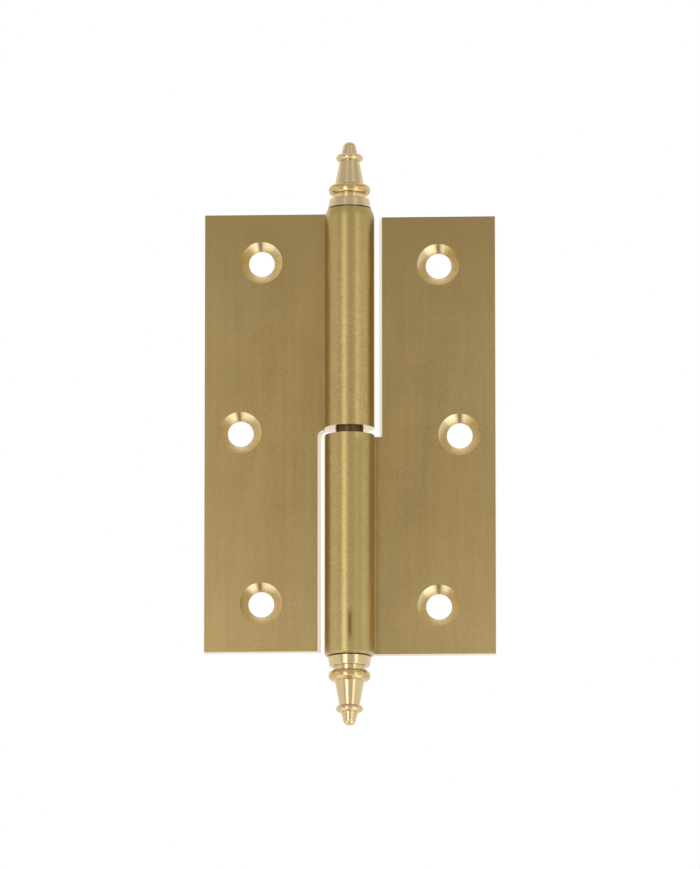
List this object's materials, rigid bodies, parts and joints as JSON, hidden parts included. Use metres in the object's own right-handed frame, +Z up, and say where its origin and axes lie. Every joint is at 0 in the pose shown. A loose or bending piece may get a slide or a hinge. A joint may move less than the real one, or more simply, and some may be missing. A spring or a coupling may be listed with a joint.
{
  "type": "paumelle hinge",
  "caption": "Lift-off door hinge with flat leaves, countersunk screw holes, round knuckles on a steel pin and turned finials.",
  "frame": {"origin": "on the hinge axis, midway between the knuckles, which is the middle of the hinge's box", "axes": "+Z up along the pin; +X towards the outer edge of the leaf with the lower knuckle; the countersunk front faces look along -Y and the leaves' backs along +Y"},
  "size_m": [0.0654, 0.0112, 0.1334],
  "materials": {
    "leaf_brass": "satin, brushed along the hinge axis",
    "finial_brass": "turned and polished",
    "pin_steel": "dark drawn steel, oiled"
  },
  "bodies": {
    "frame_leaf": {"lower_leaf": "leaf_brass", "bottom_finial": "finial_brass"},
    "pin": {"hinge_pin": "pin_steel"},
    "door_leaf": {"upper_leaf": "leaf_brass", "top_finial": "finial_brass"}
  },
  "joints": [
    {"name": "swing", "type": "hinge", "parent": "frame_leaf", "child": "pin", "pos_m": [0, 0, 0], "axis": [0, 0, 1], "range_deg": [-110, 180]},
    {"name": "lift", "type": "slide", "parent": "pin", "child": "door_leaf", "axis": [0, 0, 1], "range_m": [0, 0.05]}
  ]
}
